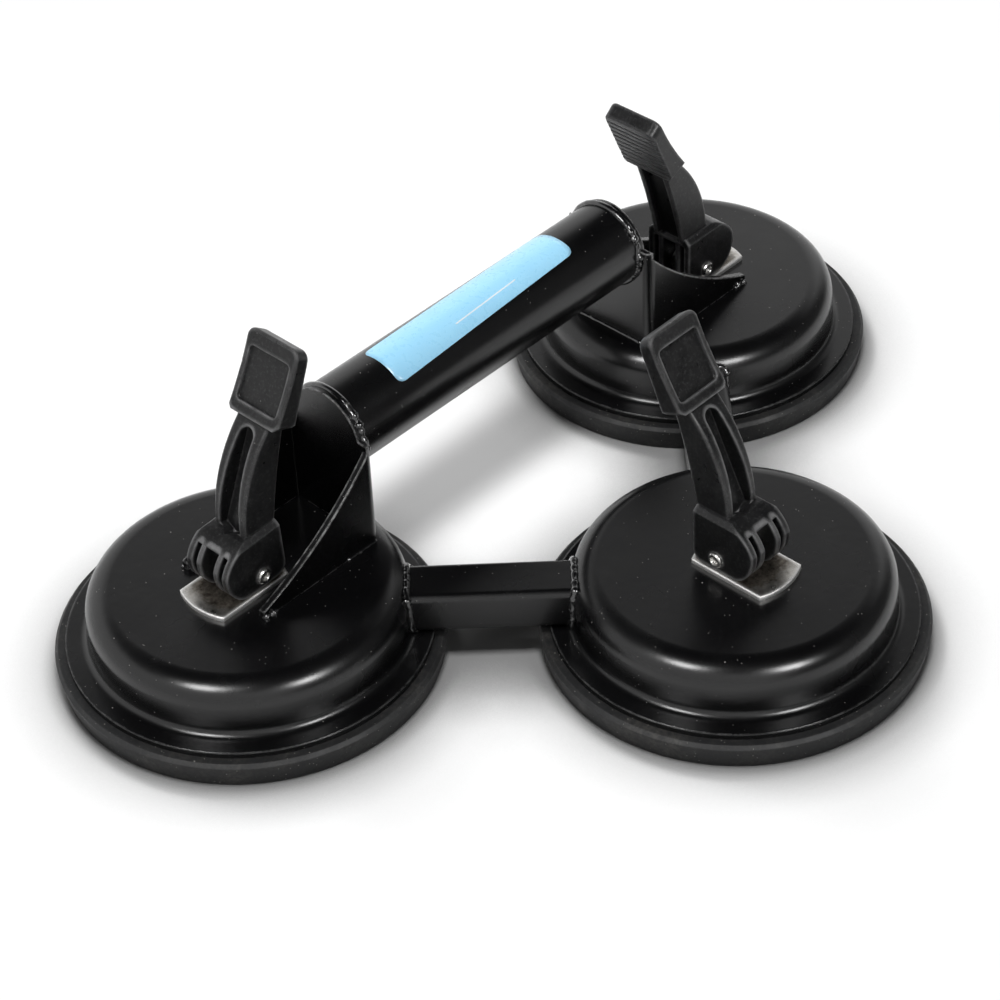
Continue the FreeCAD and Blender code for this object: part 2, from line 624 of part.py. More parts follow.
def make_tube(label):
    """Round tube along X with its ends on the bracket webs."""
    length = 2 * (S.cup_half_span - S.web_offset)
    outer = doc.addObject("Part::Cylinder", label + "_outside")
    bore = doc.addObject("Part::Cylinder", label + "_bore")
    for cylinder, radius in ((outer, S.tube_radius), (bore, S.tube_radius - S.tube_wall)):
        cylinder.Radius, cylinder.Height = radius.number, length.number
        cylinder.setExpression("Radius", radius.text)
        cylinder.setExpression("Height", length.text)
    tube = doc.addObject("Part::Cut", label)
    tube.Label = label
    tube.Base, tube.Tool = outer, bore
    along = Rotation(Vector(0, 1, 0), 90)
    place(tube, -(S.cup_half_span - S.web_offset), S.row_offset, S.tube_height, along)
    return tube


def make_bracket(label):
    """Bent sheet channel; local origin on the cup's axis, +X towards the cup's free side."""
    body = new_body(label)
    base, half, sheet_t = S.shell_top_height, S.bracket_half_width, S.bracket_sheet
    arch = S.tube_radius + S.web_arch_margin
    side, shoulder = arch * cos_of(S.web_arch_start), S.tube_height + arch * sin_of(S.web_arch_start)
    web = new_sketch(body, label + "_web_front", "YZ_Plane")
    outline(web, (-half, base), [
        (half, base), (half, shoulder), (side, shoulder), (ZERO, S.tube_height + arch, arch),
        (-side, shoulder, arch), (-half, shoulder), (-half, base)])
    web.AttachmentOffset = Placement(Vector(0, 0, -S.web_offset.number), Rotation())
    web.setExpression("AttachmentOffset.Base.z", (-S.web_offset).text)
    feature(body, "Pad", label + "_web", web, Length=sheet_t)
    flange_tip = base + S.flange_tip_height
    flange = new_sketch(body, label + "_flange_side", "XZ_Plane")
    outline(flange, (-S.web_offset, base), [
        (S.flange_tip_reach, base), (S.flange_tip_reach, flange_tip),
        (-S.web_offset, shoulder, -S.flange_curve_radius), (-S.web_offset, base)])
    flange.AttachmentOffset = Placement(Vector(0, 0, half.number), Rotation())
    flange.setExpression("AttachmentOffset.Base.z", half.text)
    feature(body, "Pad", label + "_near_flange", flange, Length=sheet_t, Reversed=True)
    twin = body.newObject("PartDesign::Mirrored", label + "_far_flange")
    twin.Originals = [body.Tip]
    for plane in body.Origin.OriginFeatures:
        if plane.Role == "XZ_Plane":
            twin.MirrorPlane = (plane, [""])
    body.Tip = twin
    dress(body, "Fillet", label + "_bends",
          lambda at, edge: abs(at.x + S.web_offset.number) < TINY
          and abs(abs(at.y) - half.number) < TINY, S.bracket_bend_radius)
    return body


def make_grip_weld(label):
    """Bead round the grip's lower half; local origin on the web, +Z along the grip, -X down."""
    body = new_body(label)
    section = new_sketch(body, label + "_section", "XZ_Plane")
    outline(section, (-S.tube_radius, ZERO), [
        (-S.tube_radius, S.grip_weld_leg), (-S.tube_radius - S.grip_weld_rise, ZERO),
        (-S.tube_radius, ZERO)])
    feature(body, "Revolution", label + "_bead", section, ReferenceAxis=(section, ["V_Axis"]),
            Angle=S.web_arch_start + 180.0, Midplane=True)
    return body


def bar_span():
    across, along = S.cup_half_span, 2 * S.row_offset
    return Size(math.hypot(across.number, along.number),
                "sqrt(%s * %s + %s * %s)" % (across.text, across.text, along.text, along.text))


def cope_end(body, name, at):
    """Cuts away what lies inside the shell of the cup whose axis is at this X."""
    cope = new_sketch(body, name + "_section", "XZ_Plane")
    shell_outline(cope, True)
    cope.AttachmentOffset = Placement(Vector(at.number, 0, 0), Rotation())
    cope.setExpression("AttachmentOffset.Base.x", at.text)
    revolve(body, name, cope, "Groove")


def make_bar(label):
    """Square tube along X between two cups; local origin on the first cup's axis."""
    body = new_body(label)
    span, half = bar_span(), S.bar_width / 2
    ring = new_sketch(body, label + "_ring", "YZ_Plane")
    box_outline(ring, -half, S.bar_low, half, S.bar_low + S.bar_depth, S.bar_corner_radius)
    wall = S.bar_wall
    box_outline(ring, wall - half, S.bar_low + wall, half - wall, S.bar_low + S.bar_depth - wall)
    feature(body, "Pad", label + "_tube", ring, Length=span)
    for number, at in enumerate((ZERO, span)):
        cope_end(body, label + "_cope_%d" % number, at)
    return body


def make_bar_weld(label):
    """Bead over a brace bar's end; local origin on the cup's axis, bar along +X."""
    body = new_body(label)
    half, rise, corner = S.bar_width / 2, S.bar_weld_rise, S.bar_corner_radius
    low, top = S.pad_top_height + S.shell_sheet + S.shell_foot_radius, S.bar_low + S.bar_depth
    hoop = new_sketch(body, label + "_hoop", "YZ_Plane")
    outline(hoop, (-half, low), [
        (-half, top - corner), (corner - half, top, -corner), (half - corner, top),
        (half, top - corner, -corner), (half, low), (half + rise, low), (half + rise, top - corner),
        (half - corner, top + rise, corner + rise), (corner - half, top + rise),
        (-half - rise, top - corner, corner + rise), (-half - rise, low), (-half, low)])
    start = S.shell_wall_radius - S.shell_shoulder_radius
    hoop.AttachmentOffset = Placement(Vector(0, 0, start.number), Rotation())
    hoop.setExpression("AttachmentOffset.Base.z", start.text)
    feature(body, "Pad", label + "_bead", hoop, Length=S.shell_shoulder_radius + S.bar_weld_leg)
    end = S.shell_wall_radius + S.bar_weld_leg
    dress(body, "Chamfer", label + "_slope",
          lambda at, edge: abs(at.x - end.number) < TINY
          and math.hypot(max(abs(at.y) - (half - corner).number, 0), max(at.z - (top - corner).number, 0))
          > (corner + 0.75 * rise).number, S.bar_weld_bevel)
    cope_end(body, label + "_cope", ZERO)
    return body


# ---------------------------------------------------------------- placing

def place(item, x, y, z, rotation=None):
    x, y, z = size(x), size(y), size(z)
    item.Placement = Placement(Vector(x.number, y.number, z.number), rotation or Rotation())
    for axis, value in (("x", x), ("y", y), ("z", z)):
        item.setExpression("Placement.Base." + axis, value.text)
    return item


CUPS = {
    # cup: axis x, axis y, turn of its outward side about Z, lever's standing angle off its heel
    "a": (-S.cup_half_span, S.row_offset, 180.0, S.rest_fold_a),
    "b": (ZERO, -S.row_offset, -90.0, S.rest_fold_b),
    "c": (S.cup_half_span, S.row_offset, 0.0, S.rest_fold_c),
}

nodes = []
for cup, (x, y, turn, fold) in CUPS.items():
    facing = Rotation(Vector(0, 0, 1), turn)
    lift = S.cam_base_radius * fold * (math.pi / 180)
    leaning = facing.multiply(Rotation(Vector(0, 1, 0), fold.number))
    nodes.append(place(make_pad("rubber_pad_" + cup), x, y, ZERO))
    nodes.append(place(make_shell("cup_shell_" + cup), x, y, ZERO))
    nodes.append(place(make_wear_plate("wear_plate_" + cup), x, y, ZERO, facing))
    nodes.append(place(make_disc("backing_disc_" + cup), x, y, lift))
    nodes.append(place(make_stem("lift_stem_" + cup), x, y, lift, facing))
    nodes.append(place(make_lever("cam_lever_" + cup), x, y, pin_height + lift, leaning))
    nodes.append(place(make_pin("hinge_pin_" + cup), x, y, pin_height + lift, facing))

nodes.append(make_tube("handle_tube"))
for cup, (x, y, turn, fold) in CUPS.items():
    if cup == "b":
        continue
    facing = Rotation(Vector(0, 0, 1), turn)
    end = x * ((S.cup_half_span - S.web_offset) / S.cup_half_span)
    inwards = facing.multiply(Rotation(Vector(0, 1, 0), -90))
    nodes.append(place(make_bracket("grip_bracket_" + cup), x, y, ZERO, facing))
    nodes.append(place(make_grip_weld("grip_weld_" + cup), end, y, S.tube_height, inwards))

slope = math.degrees(math.atan2(2 * S.row_offset.number, S.cup_half_span.number))
for cup, out, back in (("a", -slope, 180.0 - slope), ("c", slope - 180.0, slope)):
    x, y = CUPS[cup][:2]
    there, here = Rotation(Vector(0, 0, 1), out), Rotation(Vector(0, 0, 1), back)
    nodes.append(place(make_bar("brace_bar_%sb" % cup), x, y, ZERO, there))
    nodes.append(place(make_bar_weld("bar_weld_%sb" % cup), x, y, ZERO, there))
    nodes.append(place(make_bar_weld("bar_weld_b%s" % cup), CUPS["b"][0], CUPS["b"][1], ZERO, here))

doc.recompute()

for item in doc.Objects:
    if "Invalid" in item.State or "Error" in item.State:
        raise RuntimeError("%s: %s" % (item.Label, item.State))
os.makedirs("parts", exist_ok=True)
for item in nodes:
    shape = item.Shape
    if shape.isNull() or not shape.isValid() or len(shape.Solids) != 1:
        raise RuntimeError("bad shape: " + item.Label)
    shape.exportStep("parts/%s.step" % item.Label)
    print(item.Label, round(shape.Volume), [round(v, 1) for v in (
        shape.BoundBox.XMin, shape.BoundBox.YMin, shape.BoundBox.ZMin,
        shape.BoundBox.XMax, shape.BoundBox.YMax, shape.BoundBox.ZMax)])
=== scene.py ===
import bpy
import bmesh
import math
import random
from mathutils import Matrix, Vector, noise


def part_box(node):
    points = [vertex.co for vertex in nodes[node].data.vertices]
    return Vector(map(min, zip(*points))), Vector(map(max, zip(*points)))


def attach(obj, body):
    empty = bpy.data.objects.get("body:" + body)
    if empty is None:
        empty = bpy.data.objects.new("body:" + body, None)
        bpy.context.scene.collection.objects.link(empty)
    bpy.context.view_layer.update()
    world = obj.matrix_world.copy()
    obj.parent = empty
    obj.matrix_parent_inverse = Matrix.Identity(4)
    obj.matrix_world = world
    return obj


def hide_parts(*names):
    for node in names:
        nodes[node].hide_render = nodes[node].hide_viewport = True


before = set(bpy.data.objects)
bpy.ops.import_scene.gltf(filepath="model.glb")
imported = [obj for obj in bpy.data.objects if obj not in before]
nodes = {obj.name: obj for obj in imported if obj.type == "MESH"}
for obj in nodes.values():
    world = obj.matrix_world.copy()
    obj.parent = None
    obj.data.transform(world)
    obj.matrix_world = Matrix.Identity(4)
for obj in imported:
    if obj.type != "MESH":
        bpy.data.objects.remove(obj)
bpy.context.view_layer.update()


MM = 0.001
# the weld beads wander by this noise, which starts from the clock where no seed is set
noise.seed_set(1)


# ---------------------------------------------------------------- camera

def make_camera():
    """The photograph's camera, worked out from the outlines of the three cups."""
    place = Vector((-0.53195, -0.48746, 0.63137))
    bearing, down, roll = math.radians(44.96), math.radians(40.08), math.radians(-2.93)
    focal_length_mm, sensor_width_mm = 109.32, 36.0
    ahead = Vector((math.sin(bearing) * math.cos(down), math.cos(bearing) * math.cos(down),
                    -math.sin(down)))
    level = Vector((math.cos(bearing), -math.sin(bearing), 0.0))
    above = level.cross(ahead)
    right = level * math.cos(roll) + above * math.sin(roll)
    up = above * math.cos(roll) - level * math.sin(roll)
    turn = Matrix((right, up, -ahead)).transposed().to_4x4()
    lens = bpy.data.cameras.new("photo_view")
    lens.lens, lens.sensor_width = focal_length_mm, sensor_width_mm
    lens.clip_start, lens.clip_end = 0.01, 50.0
    camera = bpy.data.objects.new("photo_view", lens)
    camera.matrix_world = Matrix.Translation(place) @ turn
    bpy.context.scene.collection.objects.link(camera)
    bpy.context.scene.camera = camera


# ---------------------------------------------------------------- node materials

class Graph:
    """Adds nodes to a shader tree; an input is either a value or another node's socket."""

    def __init__(self, tree):
        self.tree = tree

    def node(self, kind, inputs=None, **settings):
        made = self.tree.nodes.new(kind)
        for key, value in settings.items():
            setattr(made, key, value)
        for key, value in (inputs or {}).items():
            if isinstance(value, bpy.types.NodeSocket):
                self.tree.links.new(value, made.inputs[key])
            else:
                made.inputs[key].default_value = value
        return made

    def calc(self, operation, first, second):
        return self.node("ShaderNodeMath", {0: first, 1: second}, operation=operation).outputs[0]

    def remap(self, value, low, high, to_low=0.0, to_high=1.0, smooth=False):
        """Brings low..high to to_low..to_high and holds it there beyond the ends."""
        made = self.node("ShaderNodeMapRange", {"Value": value, "From Min": low, "From Max": high,
                                                "To Min": to_low, "To Max": to_high},
                         interpolation_type="SMOOTHSTEP" if smooth else "LINEAR")
        return made.outputs["Result"]


class Look(Graph):
    """A material in the making; texture coordinates are the object's own, in metres."""

    def __init__(self, name, **constants):
        self.material = bpy.data.materials.new(name)
        self.material.use_nodes = True
        super().__init__(self.material.node_tree)
        self.shader = self.tree.nodes["Principled BSDF"]
        self.place = self.node("ShaderNodeTexCoord").outputs
        for key, value in constants.items():
            self.shader.inputs[key.replace("_", " ")].default_value = value

    def set(self, key, socket):
        self.tree.links.new(socket, self.shader.inputs[key])

    def noise(self, scale, detail=2.0, rough=0.5, at=None):
        made = self.node("ShaderNodeTexNoise", {"Vector": at or self.place["Object"],
                                                "Scale": scale, "Detail": detail,
                                                "Roughness": rough})
        return made.outputs["Fac"]

    def cells(self, scale, output):
        made = self.node("ShaderNodeTexVoronoi", {"Vector": self.place["Object"], "Scale": scale})
        return made.outputs[output]

    def mix(self, share, first, second):
        """Colour between first and second, each a colour or a socket; Mix has them at 6 and 7."""
        ends = [value if isinstance(value, bpy.types.NodeSocket) else tuple(value) + (1.0,)
                for value in (first, second)]
        return self.node("ShaderNodeMix", {0: share, 6: ends[0], 7: ends[1]},
                         data_type="RGBA").outputs[2]

    def stretched(self, x, y, z):
        """Coordinates that give a noise of scale 1 these scales along the axes."""
        return self.node("ShaderNodeMapping", {"Vector": self.place["Object"],
                                               "Scale": (x, y, z)}).outputs[0]

    def facing_up(self):
        """The vertical part of the surface's direction, 1 on a level top."""
        return self.node("ShaderNodeSeparateXYZ", {0: self.place["Normal"]}).outputs[2]

    def edges(self, reach, low=0.16, high=0.42):
        """1 along the outer edges, where wear and painted edge highlights go; 0 on flat ground and
        in corners.
        """
        inside = self.node("ShaderNodeAmbientOcclusion", {"Distance": reach}, samples=6,
                           inside=True, only_local=True).outputs["AO"]
        return self.remap(self.calc("SUBTRACT", 1.0, inside), low, high)

    def bump(self, layers, rounding=0.0):
        """Stacks bumps of (height socket, depth in metres, strength) on edges rounded in shade."""
        normal = None
        if rounding:
            normal = self.node("ShaderNodeBevel", {"Radius": rounding}, samples=6).outputs[0]
        for height, depth, strength in layers:
            inputs = {"Height": height, "Distance": depth, "Strength": strength}
            if normal is not None:
                inputs["Normal"] = normal
            normal = self.node("ShaderNodeBump", inputs).outputs[0]
        self.set("Normal", normal)


def specks(look, scale, share, size):
    """Dust specks: 1 inside one. A share of the cells holds a speck, of this size in cells."""
    chosen = look.node("ShaderNodeSeparateColor", {0: look.cells(scale, "Color")}).outputs[0]
    wanted = look.calc("GREATER_THAN", chosen, 1.0 - share)
    near = look.remap(look.cells(scale, "Distance"), size, size * 0.5)
    return look.calc("MULTIPLY", wanted, near)


def black_coat(name, wear_and_sheen_grey):
    """Satin powder coat, dustier on top; its edges lighten towards a given grey, partly rubbed wear
    and partly a painted highlight along them.
    """
    clean, dusty, lint = (0.002, 0.002, 0.0023), (0.008, 0.008, 0.008), (0.22, 0.21, 0.20)
    look = Look(name)
    dust = look.remap(look.noise(60, 4.0, 0.65), 0.50, 0.85)
    haze = look.calc("MULTIPLY", dust, look.remap(look.facing_up(), 0.5, 1.0, 0.1, 1.0))
    speck = look.calc("MAXIMUM", specks(look, 420, 0.06, 0.11), specks(look, 1000, 0.05, 0.17))
    base = look.mix(look.calc("MULTIPLY", haze, 0.6), clean, dusty)
    # edges lighten towards the given grey: partly rubbed wear, partly a painted highlight where the
    # rounded edges catch light
    patches = look.remap(look.noise(240, 3.0, 0.7), 0.42, 0.62, 0.12, 1.0)
    worn = look.calc("MULTIPLY", look.edges(0.9 * MM), patches)
    base = look.mix(worn, base, (wear_and_sheen_grey, wear_and_sheen_grey, wear_and_sheen_grey))
    look.set("Base Color", look.mix(speck, base, lint))
    rough = look.remap(look.noise(35, 3.0, 0.6), 0.3, 0.7, 0.22, 0.29)
    look.set("Roughness", look.calc("MAXIMUM", rough, look.calc("MULTIPLY", speck, 0.8)))
    look.bump([(look.noise(380, 2.0, 0.5), 0.05 * MM, 0.35),
               (look.noise(1900, 2.0, 0.5), 0.01 * MM, 0.5), (speck, 0.1 * MM, 0.6)], 1.0 * MM)
    return look.material


def weld_coat():
    """Glossy coat over the weld beads, with a few grey chips."""
    black, chipped = (0.003, 0.003, 0.0035), (0.10, 0.10, 0.095)
    look = Look("black_coated_weld", Coat_Weight=1.0, Coat_Roughness=0.04)
    chip = look.remap(look.noise(420, 3.0, 0.6), 0.60, 0.72)
    look.set("Base Color", look.mix(chip, black, chipped))
    look.set("Roughness", look.remap(look.noise(300, 3.0), 0.3, 0.7, 0.15, 0.32))
    look.bump([(look.noise(1100, 3.0, 0.6), 0.08 * MM, 0.5)])
    return look.material


def pad_rubber():
    """Matt rubber with chalky wear in patches, a rubbed rim and lint."""
    clean, chalky = (0.009, 0.0092, 0.0098), (0.060, 0.057, 0.052)
    rubbed, lint = (0.07, 0.07, 0.07), (0.30, 0.29, 0.27)
    look = Look("pad_rubber", Specular_IOR_Level=0.4)
    wear = look.remap(look.noise(42, 5.0, 0.7), 0.47, 0.72)
    fine = look.remap(look.noise(900, 4.0, 0.7), 0.5, 0.8)
    speck = look.calc("MAXIMUM", specks(look, 420, 0.10, 0.13), specks(look, 1000, 0.14, 0.19))
    broken = look.remap(look.noise(700, 3.0, 0.7), 0.35, 0.65)
    chalk = look.calc("MAXIMUM", wear, look.calc("MULTIPLY", fine, 0.6))
    base = look.mix(look.calc("MULTIPLY", chalk, broken), clean, chalky)
    patches = look.remap(look.noise(300, 3.0, 0.7), 0.35, 0.6, 0.25, 0.9)
    base = look.mix(look.calc("MULTIPLY", look.edges(1.1 * MM), patches), base, rubbed)
    look.set("Base Color", look.mix(speck, base, lint))
    look.set("Roughness", look.remap(look.noise(120, 4.0, 0.6), 0.3, 0.7, 0.48, 0.70))
    look.bump([(look.noise(260, 3.0, 0.6), 0.06 * MM, 0.35),
               (look.noise(2600, 3.0, 0.6), 0.02 * MM, 0.6), (speck, 0.1 * MM, 0.5)], 0.6 * MM)
    return look.material


def lever_plastic():
    """Grained moulding with grey edges, partly wear and partly a painted highlight, and faint
    scuffs along its height.
    """
    dark, cloudy, grainy = (0.006, 0.006, 0.0065), (0.012, 0.012, 0.0122), (0.045, 0.045, 0.046)
    scuffed, pale, lint = (0.035, 0.035, 0.035), (0.22, 0.22, 0.222), (0.16, 0.155, 0.15)
    look = Look("lever_plastic", Specular_IOR_Level=0.3)
    cloud = look.remap(look.noise(160, 3.0, 0.6), 0.35, 0.75)
    grain = look.remap(look.noise(1000, 4.0, 0.75), 0.52, 0.68)
    scuff = look.remap(look.noise(1.0, 3.0, 0.6, look.stretched(500, 500, 90)), 0.55, 0.75)
    base = look.mix(cloud, dark, cloudy)
    base = look.mix(look.calc("MULTIPLY", grain, 0.7), base, grainy)
    base = look.mix(look.calc("MULTIPLY", scuff, 0.3), base, scuffed)
    # edges lighten towards pale grey: partly rubbed wear, partly a painted highlight where the
    # rounded edges catch light
    patches = look.remap(look.noise(220, 3.0, 0.6), 0.3, 0.6, 0.45, 1.0)
    worn = look.calc("MULTIPLY", look.edges(1.5 * MM), patches)
    base = look.mix(look.calc("MULTIPLY", worn, 0.9), base, pale)
    look.set("Base Color", look.mix(specks(look, 700, 0.04, 0.16), base, lint))
    look.set("Roughness", look.remap(look.noise(240, 3.0, 0.6), 0.3, 0.7, 0.27, 0.40))
    look.bump([(look.noise(180, 2.0), 0.08 * MM, 0.25),
               (look.noise(1000, 4.0, 0.75), 0.05 * MM, 0.8)], 0.8 * MM)
    return look.material


def nickel_plate(centre):
    """Wear plate: dull brown where the cam rubs, round the cup's centre; bright at its rim, partly
    polished wear and partly a painted highlight.
    """
    deep_brown, pale_brown = (0.075, 0.062, 0.05), (0.30, 0.27, 0.23)
    bright, cloudy, polished_and_sheen = (0.80, 0.78, 0.74), (0.60, 0.57, 0.53), (0.97, 0.96, 0.94)
    plate_top, worn_from, worn_inside, raggedness = 30 * MM, 22.5 * MM, 18 * MM, 7 * MM
    look = Look("nickel_plate_worn", Metallic=1.0)
    away = look.node("ShaderNodeVectorMath", {0: look.place["Object"],
                                              1: (centre.x, centre.y, plate_top)},
                     operation="DISTANCE").outputs["Value"]
    ragged = look.calc("ADD", away, look.calc("MULTIPLY", look.noise(260, 4.0, 0.65), raggedness))
    worn = look.remap(ragged, worn_from, worn_inside, smooth=True)
    stain = look.remap(look.noise(500, 4.0, 0.7), 0.35, 0.7)
    brown = look.mix(stain, deep_brown, pale_brown)
    plate = look.mix(look.remap(look.noise(700, 3.0, 0.7), 0.4, 0.7), bright, cloudy)
    # the rim lightens towards near white: partly polishing wear, partly a painted highlight where
    # the rounded rim catches light
    rubbed = look.edges(1.6 * MM, 0.10, 0.34)
    look.set("Base Color", look.mix(rubbed, look.mix(worn, plate, brown), polished_and_sheen))
    dull = look.calc("MULTIPLY", worn, look.calc("SUBTRACT", 1.0, rubbed))
    rough = look.calc("ADD", look.remap(look.noise(350, 3.0), 0.3, 0.7, 0.24, 0.36),
                      look.calc("MULTIPLY", dull, 0.2))
    look.set("Roughness", look.calc("MAXIMUM", rough, look.calc("MULTIPLY", rubbed, 0.5)))
    scratch = look.noise(1.0, 2.0, 0.6, look.stretched(2500, 160, 400))
    look.bump([(scratch, 0.03 * MM, 0.5),
               (look.calc("MULTIPLY", stain, worn), 0.05 * MM, 0.5)], 0.9 * MM)
    return look.material


def turned_steel(name, colour, rough):
    """Stained steel with fine turning marks round the vertical."""
    look = Look(name, Metallic=1.0)
    stain = look.remap(look.noise(420, 4.0, 0.65), 0.4, 0.75)
    look.set("Base Color", look.mix(stain, colour, tuple(v * 0.55 for v in colour)))
    look.set("Roughness", look.remap(look.noise(300, 3.0), 0.3, 0.7, rough * 0.75, rough * 1.35))
    marks = look.noise(1.0, 2.0, at=look.stretched(300, 300, 4500))
    look.bump([(marks, 0.02 * MM, 0.5)], 0.3 * MM)
    return look.material


def label_vinyl(name, light, dark):
    """Printed film, clouded between light and dark, with pale fibres showing through."""
    look = Look(name, Coat_Weight=0.4, Coat_Roughness=0.1)
    base = look.mix(look.remap(look.noise(90, 3.0, 0.6), 0.3, 0.7), dark, light)
    fibre = look.remap(look.noise(2600, 2.0, 0.6), 0.4, 0.7, 0.0, 0.14)
    look.set("Base Color", look.mix(fibre, base, tuple(0.5 + 0.5 * v for v in light)))
    look.set("Roughness", look.remap(look.noise(500, 3.0), 0.3, 0.7, 0.24, 0.36))
    look.bump([(look.noise(140, 2.0), 0.04 * MM, 0.25), (look.noise(2600, 2.0), 0.01 * MM, 0.3)])
    return look.material


# ---------------------------------------------------------------- mesh helpers

def from_bmesh(shape, name, material, smooth=True):
    """Puts the shape into the scene as an object and frees it."""
    mesh = bpy.data.meshes.new(name)
    bmesh.ops.recalc_face_normals(shape, faces=shape.faces)
    shape.to_mesh(mesh)
    shape.free()
    mesh.materials.append(material)
    for face in mesh.polygons:
        face.use_smooth = smooth
    item = bpy.data.objects.new(name, mesh)
    bpy.context.scene.collection.objects.link(item)
    return item


def sweep(shape, points, radii, closed):
    """Tube through the points; radii gives one radius per point."""
    count, sides = len(points), 10
    rings, side = [], None
    for i, centre in enumerate(points):
        ahead = points[(i + 1) % count] if closed or i + 1 < count else centre
        behind = points[i - 1] if closed or i else centre
        along = (ahead - behind).normalized()
        if side is None:
            side = along.orthogonal().normalized()
        else:
            side = (side - along * side.dot(along)).normalized()
        other = along.cross(side)
        spokes = [side * math.cos(a) + other * math.sin(a)
                  for a in (2 * math.pi * k / sides for k in range(sides))]
        rings.append([shape.verts.new(centre + spoke * radii[i]) for spoke in spokes])
    pairs = list(zip(rings, rings[1:] + ([rings[0]] if closed else [])))
    for number, (one, two) in enumerate(pairs):
        shift = 0
        if closed and number == len(pairs) - 1:
            # the rings turn a little on their way round, so the last one meets the nearest corner
            shift = min(range(sides), key=lambda s: (one[0].co - two[s].co).length)
        for k in range(sides):
            shape.faces.new((one[k], one[(k + 1) % sides],
                             two[(k + 1 + shift) % sides], two[(k + shift) % sides]))
    if not closed:
        shape.faces.new(rings[0])
        shape.faces.new(rings[-1])


def bead(shape, path, radius, closed, seed, rough, lumpy=lambda point: 1.0):
    """Hand-laid weld bead: lumps of random size and spacing, strongest where lumpy(point) is 1."""
    lump_swell, lump_width, lump_gap = (0.2, 1.15), (0.7 * MM, 1.5 * MM), (1.6 * MM, 4.0 * MM)
    slim, growth, usual_swell, wander_scale = 0.78, 0.62, 0.35, 420
    end_taper = (0.45, 0.75, 0.92)
    draw = random.Random(seed)
    far, total = [0.0], 0.0
    for before, after in zip(path, path[1:]):
        total += (after - before).length
        far.append(total)
    lumps, spot = [], 0.0
    while spot < total:
        lumps.append((spot, draw.uniform(*lump_swell), draw.uniform(*lump_width)))
        spot += draw.uniform(*lump_gap)
    points, radii = [], []
    for place, point in zip(far, path):
        share = lumpy(point)
        swell = max(size * math.exp(-((place - at) / wide) ** 2) for at, size, wide in lumps)
        wander = noise.noise_vector(point * wander_scale + Vector((0, seed, 0)))
        points.append(point + wander * radius * rough * (0.1 + share))
        radii.append(radius * (slim + share * growth * (swell - usual_swell)))
    if not closed:
        for i, taper in enumerate(end_taper):
            radii[i] *= taper
            radii[-1 - i] *= taper
    sweep(shape, points, radii, closed)


def resampled(points, step):
    """The same path with a point about every step."""
    result = [points[0]]
    for start, end in zip(points, points[1:]):
        parts = max(1, round((end - start).length / step))
        result += [start.lerp(end, k / parts) for k in range(1, parts + 1)]
    return result


# ---------------------------------------------------------------- places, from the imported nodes

def cups():
    """Axis and outward direction of each cup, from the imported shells."""
    found = {}
    for cup, outward in (("a", (-1, 0)), ("b", (0, -1)), ("c", (1, 0))):
        low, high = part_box("cup_shell_" + cup)
        found[cup] = (Vector(((low.x + high.x) / 2, (low.y + high.y) / 2, 0)),
                      Vector((*outward, 0)))
    return found


def grip():
    """Both ends (x), axis (y, z) and radius of the hand grip."""
    low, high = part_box("handle_tube")
    return low.x, high.x, (low.y + high.y) / 2, (low.z + high.z) / 2, (high.z - low.z) / 2


def shell_radius(z):
    """Outer radius of the pressed shell at a height: foot fillet, straight wall and shoulder."""
    wall, top, shoulder, foot, flange_top = 49.2 * MM, 28.4 * MM, 7.7 * MM, 2.6 * MM, 10.5 * MM
    if z > top - shoulder:
        return wall - shoulder + math.sqrt(max(shoulder ** 2 - (z - top + shoulder) ** 2, 0))
    if z < flange_top + foot:
        return wall + foot - math.sqrt(max(foot ** 2 - (flange_top + foot - z) ** 2, 0))
    return wall


def bar_section():
    """Closed outline of a brace bar's end, as (across, height), round its four corners."""
    half_wide, bottom, tall, corner = 8.0 * MM, 10.7 * MM, 14.0 * MM, 2.0 * MM
    side, above, below = half_wide - corner, bottom + tall - corner, bottom + corner
    outline = []
    for across, height, start in ((side, above, 0), (-side, above, 90),
                                  (-side, below, 180), (side, below, 270)):
        outline += [(across + corner * math.cos(math.radians(start + turn)),
                     height + corner * math.sin(math.radians(start + turn)))
                    for turn in (0, 30, 60, 90)]
    return outline + outline[:1]


# ---------------------------------------------------------------- welds

def grip_welds(material):
    """Ring round each end of the hand grip, lumpy on the side towards the photograph's camera."""
    left, right, axis_y, axis_z, grip_radius = grip()
    ring_radius, bead_radius, inset, count = grip_radius + 0.1 * MM, 1.45 * MM, 0.5 * MM, 260

    def near_side(point):
        """1 between 58 and 110 degrees from the top towards the near side, less beyond."""
        angle = math.degrees(math.atan2(axis_y - point.y, point.z - axis_z))
        return max(0.05, min(1.0, (angle - 38) / 20, (135 - angle) / 25))

    shape = bmesh.new()
    for number, x in enumerate((left + inset, right - inset)):
        ring = [Vector((x, axis_y + ring_radius * math.cos(a), axis_z + ring_radius * math.sin(a)))
                for a in (2 * math.pi * k / count for k in range(count))]
        bead(shape, ring, bead_radius, closed=True, seed=11 + number, rough=0.3, lumpy=near_side)
    rings = from_bmesh(shape, "grip_weld_rings", material)
    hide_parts("grip_weld_a", "grip_weld_c")
    return [rings]


